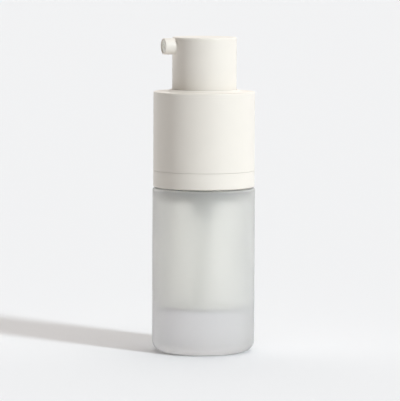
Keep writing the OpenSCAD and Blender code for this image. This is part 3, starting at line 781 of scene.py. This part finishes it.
class BOTTLE_OT_pump(Operator):
    """Make the return spring and the valve balls, and finish the pump's pieces inside the bottle"""

    bl_idname = "bottle.pump"
    bl_label = "Pump"

    def execute(self, context):
        s = context.scene.bottle_sizes
        steel = kept(drawn_stainless_steel)
        wire, sides = s.wire_radius, 12
        around = [math.tau * k / sides for k in range(sides)]
        section = [(wire * math.cos(a), wire * math.sin(a)) for a in around]
        height = SPRING_HIGH.z - SPRING_LOW.z
        spring = coiled("pump_spring", section, steel, turns=float(s.spring_turns), steps_round=48,
                        coil_radius=SPRING_HIGH.y - wire, start_height=SPRING_LOW.z + wire,
                        rise=height - 2 * wire, flat_turns=1.0, flat_rise=2.1 * wire, fade_turns=0.0)
        made = piece("pump_spring", spring, "pump", "stainless_steel", "return_spring")
        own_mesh(made)
        for ball in ("inlet_ball", "outlet_ball"):
            low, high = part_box(ball)
            r = high.y
            outline = [(0, low.z), (r, low.z, r), (r, high.z, r), (0, high.z)]
            mesh = turned(ball + "_steel", outline, steel, closed=False)
            piece(ball + "_steel", mesh, ball, "stainless_steel", ball)
        finishes = {
            "natural_plastic": kept(natural_polypropylene), "seal_elastomer": kept(moulded_elastomer),
            "white_plastic": kept(moulded_abs),
        }
        for part in frame["record"]["subparts"]:
            cad = frame["nodes"][part["node"]]
            if part["material_slot"] in finishes and not cad.hide_render:
                for socket in cad.material_slots:
                    socket.material = finishes[part["material_slot"]]
        return {"FINISHED"}


class BOTTLE_OT_stage(Operator):
    """Set up the floor, the studio lights and the camera"""

    bl_idname = "bottle.stage"
    bl_label = "Stage"

    def execute(self, context):
        scene = context.scene
        s = scene.bottle_stage
        floor = bpy.data.meshes.new("floor")
        far = 60.0   # the floor's edge is too far off to see
        corners = [(-far, -far, 0), (far, -far, 0), (far, far, 0), (-far, far, 0)]
        floor.from_pydata(corners, [], [(0, 1, 2, 3)])
        # matt painted studio floor
        material, tree, shader, _ = new_finish("studio_floor")
        set_inputs(tree, shader, {"Base Color": (*s.floor, 1), "Roughness": 0.9, "Specular IOR Level": 0.1})
        floor.materials.append(material)
        add_object("floor", floor)

        world = bpy.data.worlds.new("studio")
        world.use_nodes = True
        scene.world = world
        away = Vector((-math.sin(s.azimuth), math.cos(s.azimuth), 0))
        right = Vector((math.cos(s.azimuth), math.sin(s.azimuth), 0))
        # a studio that is bright behind the bottle and dim on the camera's side
        sky = world.node_tree
        seen = node(sky, "ShaderNodeTexCoord").outputs["Generated"]
        facing = node(sky, "ShaderNodeVectorMath", {0: seen, 1: away}, operation="DOT_PRODUCT")
        glow = node(sky, "ShaderNodeMapRange", {
            "Value": facing.outputs["Value"], "From Min": -0.2, "From Max": 0.9,
            "To Min": s.front_fill, "To Max": s.back_fill,
        }, interpolation_type="SMOOTHSTEP")
        # its walls are pale all round at floor level, so the floor never ends in the dark
        rise = node(sky, "ShaderNodeSeparateXYZ", {0: seen}).outputs["Z"]
        wall = node(sky, "ShaderNodeMapRange", {
            "Value": rise, "From Min": 0.012, "From Max": 0.035, "To Min": s.wall_glow, "To Max": 0.0,
        })
        set_inputs(sky, sky.nodes["Background"], {
            "Color": (*s.warm, 1),
            "Strength": maths(sky, "MAXIMUM", glow.outputs[0], wall.outputs[0]),
        })
        up = Vector((0, 0, 1))
        side = math.cos(s.key_side) * -away + math.sin(s.key_side) * right
        lean = 0.15 * right - 0.22 * away   # the light above is a little to the right and in front
        self.sun("overhead", up + lean, s.overhead_spread, s.overhead, s.warm)
        self.sun("key", math.cos(s.key_rise) * side + math.sin(s.key_rise) * up, s.key_spread, s.key, s.cool)

        camera = bpy.data.objects.new("camera", bpy.data.cameras.new("camera"))
        context.collection.objects.link(camera)
        camera.data.lens = s.lens
        camera.data.sensor_width = 36
        camera.data.clip_start = 0.05
        camera.data.clip_end = 100
        camera.location = -away * s.distance + Vector((0, 0, s.height))
        aim = -right * s.aside + Vector((0, 0, s.height - s.distance * math.tan(s.pitch)))
        camera.rotation_mode = "QUATERNION"
        level = (aim - camera.location).to_track_quat("-Z", "Y")
        camera.rotation_quaternion = level @ Quaternion((0, 0, 1), s.roll)
        scene.camera = camera
        scene.view_settings.view_transform = "Standard"
        return {"FINISHED"}

    def sun(self, name, towards, spread, energy, tint):
        """Adds a far light that shines from one side, softened as a large panel would be."""
        data = bpy.data.lights.new(name, "SUN")
        data.angle = spread
        data.energy = energy
        data.color = tint
        made = bpy.data.objects.new(name, data)
        bpy.context.collection.objects.link(made)
        made.rotation_mode = "QUATERNION"
        made.rotation_quaternion = towards.to_track_quat("Z", "Y")


class BOTTLE_PT_panel(Panel):
    """Lists the bottle's settings and the steps that build it"""

    bl_label = "Foundation Bottle"
    bl_idname = "BOTTLE_PT_panel"
    bl_space_type = "VIEW_3D"
    bl_region_type = "UI"
    bl_category = "Bottle"

    def draw(self, context):
        for group in ("bottle_sizes", "bottle_colours", "bottle_stage"):
            settings = getattr(context.scene, group)
            box = self.layout.box()
            for name in settings.__annotations__:
                box.prop(settings, name)
        for step in STEPS:
            self.layout.operator(step.bl_idname)


STEPS = (BOTTLE_OT_glass, BOTTLE_OT_collar, BOTTLE_OT_head, BOTTLE_OT_pump, BOTTLE_OT_stage)
CLASSES = (BottleSizes, BottleColours, BottleStage, *STEPS, BOTTLE_PT_panel)


def register():
    for cls in CLASSES:
        bpy.utils.register_class(cls)
    bpy.types.Scene.bottle_sizes = PointerProperty(type=BottleSizes)
    bpy.types.Scene.bottle_colours = PointerProperty(type=BottleColours)
    bpy.types.Scene.bottle_stage = PointerProperty(type=BottleStage)


def unregister():
    del bpy.types.Scene.bottle_sizes
    del bpy.types.Scene.bottle_colours
    del bpy.types.Scene.bottle_stage
    for cls in reversed(CLASSES):
        bpy.utils.unregister_class(cls)


def main():
    register()
    bpy.ops.bottle.glass()
    bpy.ops.bottle.collar()
    bpy.ops.bottle.head()
    bpy.ops.bottle.pump()
    bpy.ops.bottle.stage()


if __name__ == "__main__":
    main()
